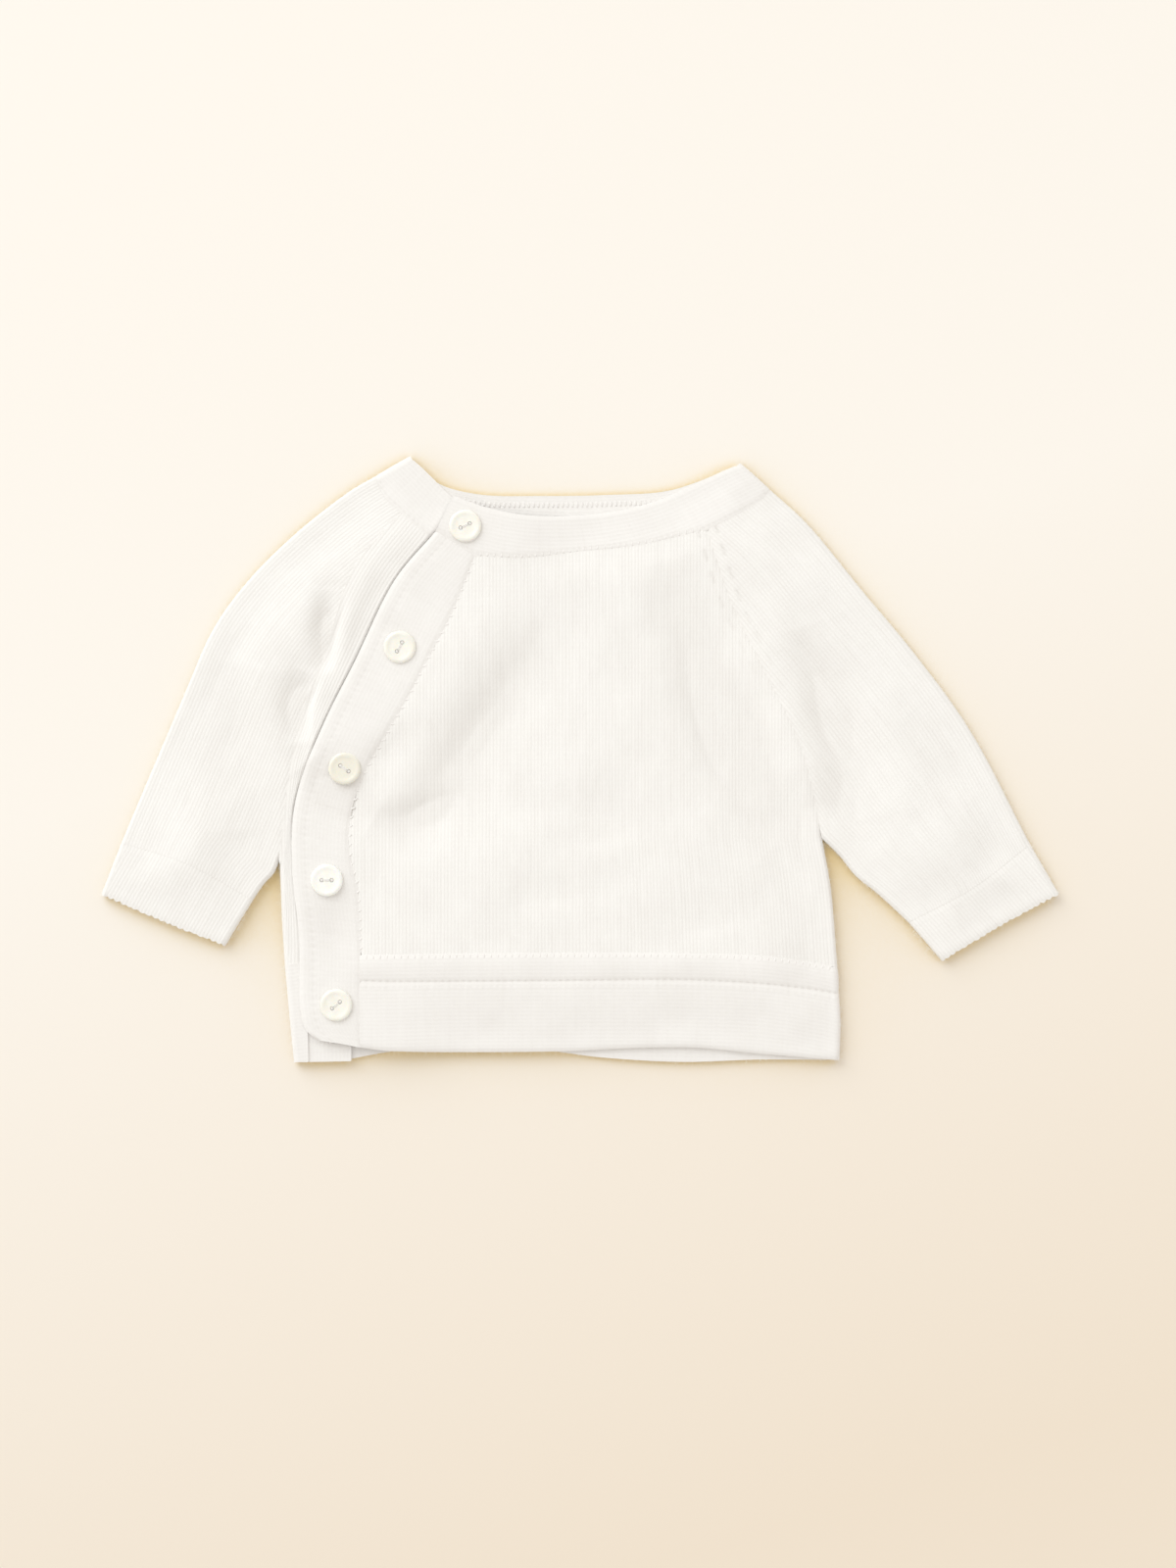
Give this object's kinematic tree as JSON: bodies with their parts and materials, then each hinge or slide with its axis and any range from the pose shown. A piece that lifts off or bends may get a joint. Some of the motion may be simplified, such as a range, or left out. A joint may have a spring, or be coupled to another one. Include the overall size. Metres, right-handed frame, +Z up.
{
  "type": "baby sweater",
  "caption": "Baby wrap cardigan in fine knit, laid flat, with raglan sleeves, a bound neck, a welted hem and a slanting button closure along one raglan and side.",
  "frame": {"origin": "on the surface the garment lies on, below the middle of its box", "axes": "+X from the wearer's right cuff to the left cuff, +Y from hem to neck, +Z up from the surface, out of the front"},
  "size_m": [0.3766, 0.2381, 0.0096],
  "materials": {
    "knit": "fine off-white stocking stitch, soft and slightly hairy",
    "band_knit": "denser off-white knit of the bands, matt",
    "pearl": "polished mother-of-pearl"
  },
  "bodies": {
    "root": {"back": "knit", "front": "knit", "under_front": "knit", "sleeve_left": "knit", "sleeve_right": "knit", "neckband": "band_knit", "button_band": "band_knit", "under_band": "band_knit", "hem_band": "band_knit", "cuff_left": "band_knit", "cuff_right": "band_knit", "button_1": "pearl", "button_2": "pearl", "button_3": "pearl", "button_4": "pearl", "button_5": "pearl"}
  },
  "joints": []
}
